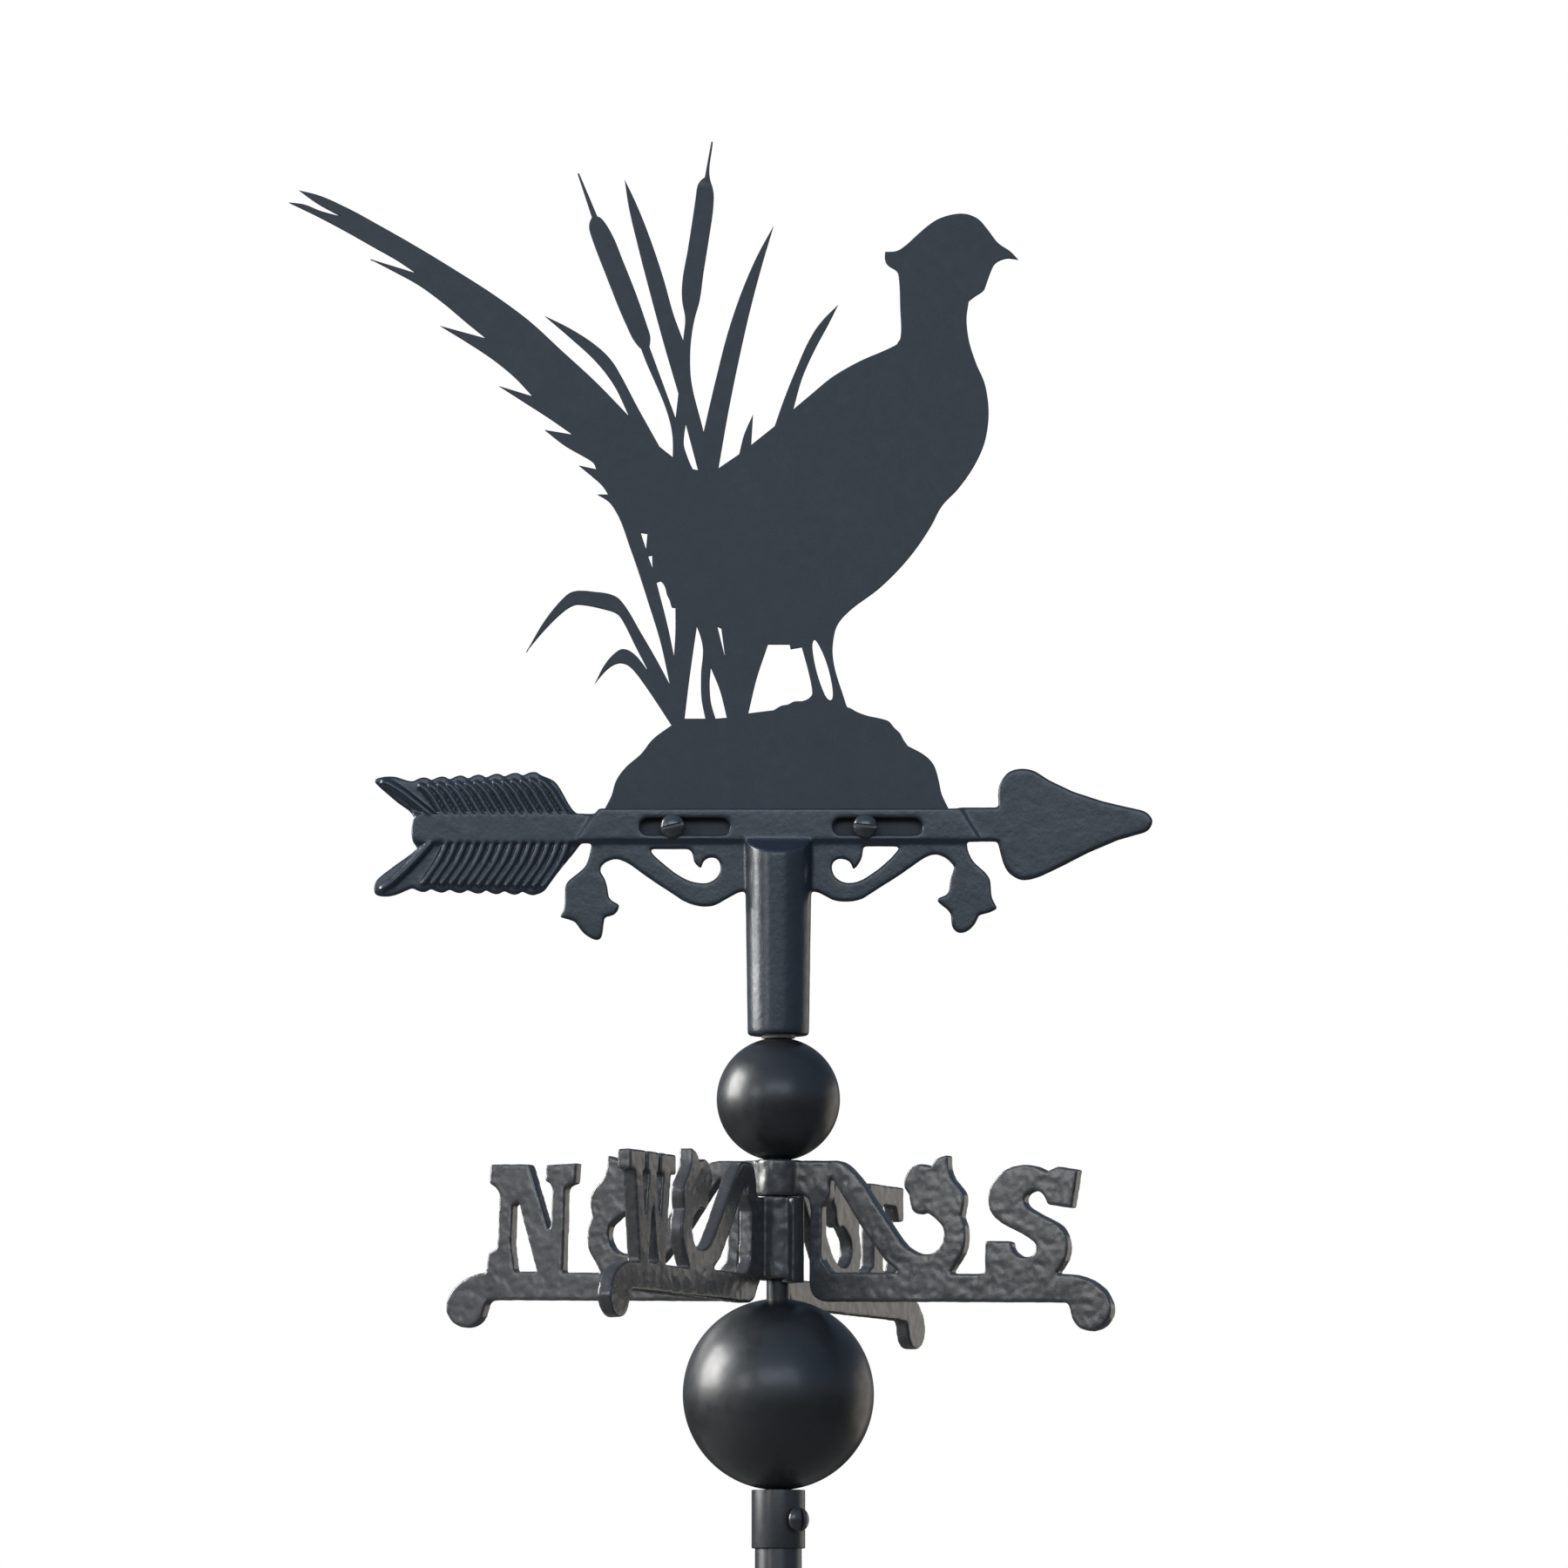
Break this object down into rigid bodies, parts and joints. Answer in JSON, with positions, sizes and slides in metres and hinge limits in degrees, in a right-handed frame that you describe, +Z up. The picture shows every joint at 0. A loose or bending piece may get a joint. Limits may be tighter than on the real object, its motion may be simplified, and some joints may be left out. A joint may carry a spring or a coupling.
{
  "type": "weather vane",
  "caption": "Garden weather vane: pheasant plate on a cast arrow that spins on a spindle above crossed compass letters, two balls and a clamped pole.",
  "frame": {"origin": "centre of the underside of the pole's foot plug, on the pole's axis", "axes": "+Z up along the pole; the arrow points along +X and the plate faces -Y at rest"},
  "size_m": [0.4654, 0.3554, 1.0584],
  "materials": {
    "pole_coat": "satin black powder coat on steel tube",
    "ball_coat": "satin black powder coat on spun steel",
    "casting_coat": "semi-gloss black powder coat over a rough sand casting",
    "slate_coat": "matt dark slate powder coat on laser-cut steel",
    "screw_coat": "gloss black coated screw heads",
    "zinc_steel": "zinc-plated steel",
    "bearing_steel": "polished bearing ball",
    "moulded_nylon": "black moulded nylon",
    "natural_nylon": "pale turned nylon bearing bushes"
  },
  "bodies": {
    "mast": {"mounting_pole": "pole_coat", "pole_foot_plug": "moulded_nylon", "pole_socket": "pole_coat", "spindle_seat": "zinc_steel", "socket_clamp_screw": "screw_coat", "spindle_rod": "pole_coat", "spindle_lock_nut": "zinc_steel", "big_ball": "ball_coat", "small_ball": "ball_coat", "pivot_ball": "bearing_steel"},
    "compass": {"north_south_casting": "casting_coat", "west_east_casting": "casting_coat", "north_south_grub_screw": "zinc_steel", "west_east_grub_screw": "zinc_steel"},
    "vane": {"arrow_casting": "casting_coat", "lower_bearing_bush": "natural_nylon", "upper_bearing_bush": "natural_nylon"},
    "motif": {"pheasant_plate": "slate_coat", "motif_screw_left": "screw_coat", "motif_screw_right": "screw_coat", "motif_washer_left": "zinc_steel", "motif_washer_right": "zinc_steel", "motif_nut_left": "zinc_steel", "motif_nut_right": "zinc_steel"}
  },
  "joints": [
    {"name": "vane_spin", "type": "hinge", "parent": "mast", "child": "vane", "pos_m": [0, 0, 0.62], "axis": [0, 0, 1], "continuous": true},
    {"name": "compass_turn", "type": "hinge", "parent": "mast", "child": "compass", "pos_m": [0, 0, 0.46], "axis": [0, 0, 1], "continuous": true},
    {"name": "motif_slide", "type": "slide", "parent": "vane", "child": "motif", "axis": [1, 0, 0], "range_m": [-0.0135, 0.027]}
  ]
}
